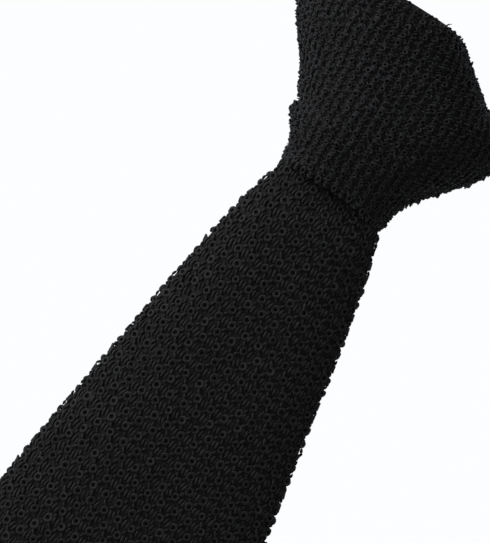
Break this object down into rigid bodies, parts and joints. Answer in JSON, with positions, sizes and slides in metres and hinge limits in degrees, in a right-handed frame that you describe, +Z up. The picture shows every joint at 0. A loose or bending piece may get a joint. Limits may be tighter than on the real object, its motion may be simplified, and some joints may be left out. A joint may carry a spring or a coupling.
{
  "type": "knitted necktie",
  "caption": "Black knitted necktie tied in a slim wedge knot, with a square-ended blade, a tail behind it and a neck loop.",
  "frame": {"origin": "centre of the neck loop, where a collar holds the tie", "axes": "+X to the viewer's right, +Y from the knot's front towards the back of the neck, +Z up; the blade hangs down and its front faces -Y"},
  "size_m": [0.132, 0.1661, 0.543],
  "materials": {
    "knit": "matte knitted",
    "thread": "matte thread",
    "tape": "woven tape",
    "label": "satin weave"
  },
  "bodies": {
    "neck_band": {"neckband_blade_side": "knit", "neckband_back": "knit", "neckband_tail_side": "knit", "neckband_stay_tape": "tape", "neck_join_seams": "thread", "tail_strand": "knit"},
    "knot": {"knot_front_wrap": "knit", "knot_back_wrap": "knit", "knot_inner_pass": "knit", "knot_under_wrap": "knit"},
    "blade_throat": {"front_blade_throat": "knit", "tail_throat": "knit"},
    "blade_upper": {"front_blade_upper": "knit", "front_blade_seam_upper": "thread"},
    "blade_middle": {"front_blade_middle": "knit", "front_blade_seam_middle": "thread", "keeper_loop": "tape", "keeper_tacks": "thread"},
    "blade_lower": {"front_blade_lower": "knit", "front_blade_seam_lower": "thread", "front_blade_hem": "knit", "front_blade_hem_stitches": "thread", "care_label_tape": "tape"},
    "tail_upper": {"tail_upper": "knit", "tail_seam_upper": "thread"},
    "tail_middle": {"tail_middle": "knit", "tail_seam_middle": "thread"},
    "tail_lower": {"tail_lower": "knit", "tail_seam_lower": "thread", "tail_hem": "knit", "tail_hem_stitches": "thread"},
    "label": {"care_label": "label"}
  },
  "joints": [
    {"name": "knot_slide", "type": "slide", "parent": "neck_band", "child": "knot", "axis": [0, 0, -1], "range_m": [0, 0.035]},
    {"name": "blade_sway", "type": "hinge", "parent": "knot", "child": "blade_throat", "pos_m": [0, -0.0846, -0.0625], "axis": [0, 1, 0], "range_deg": [-12, 12]},
    {"name": "blade_lift", "type": "hinge", "parent": "blade_throat", "child": "blade_upper", "pos_m": [0, -0.0846, -0.0765], "axis": [-1, 0, 0], "range_deg": [-12, 80]},
    {"name": "blade_fold_middle", "type": "hinge", "parent": "blade_upper", "child": "blade_middle", "pos_m": [0, -0.0846, -0.2145], "axis": [-1, 0, 0], "range_deg": [-45, 75]},
    {"name": "blade_fold_lower", "type": "hinge", "parent": "blade_middle", "child": "blade_lower", "pos_m": [0, -0.0846, -0.3545], "axis": [-1, 0, 0], "range_deg": [-45, 75]},
    {"name": "tail_lift", "type": "hinge", "parent": "blade_throat", "child": "tail_upper", "pos_m": [0, -0.0846, -0.0765], "axis": [-1, 0, 0], "range_deg": [-12, 80]},
    {"name": "tail_fold_middle", "type": "hinge", "parent": "tail_upper", "child": "tail_middle", "pos_m": [0, -0.0846, -0.2145], "axis": [-1, 0, 0], "range_deg": [-45, 75]},
    {"name": "tail_fold_lower", "type": "hinge", "parent": "tail_middle", "child": "tail_lower", "pos_m": [0, -0.0846, -0.3545], "axis": [-1, 0, 0], "range_deg": [-45, 75]},
    {"name": "label_flap", "type": "hinge", "parent": "blade_lower", "child": "label", "pos_m": [0, -0.0842, -0.4505], "axis": [1, 0, 0], "range_deg": [0, 140]}
  ],
  "couplings": [
    {"joint": "tail_lift", "follows": "blade_lift", "ratio": 1},
    {"joint": "tail_fold_middle", "follows": "blade_fold_middle", "ratio": 1},
    {"joint": "tail_fold_lower", "follows": "blade_fold_lower", "ratio": 1}
  ]
}
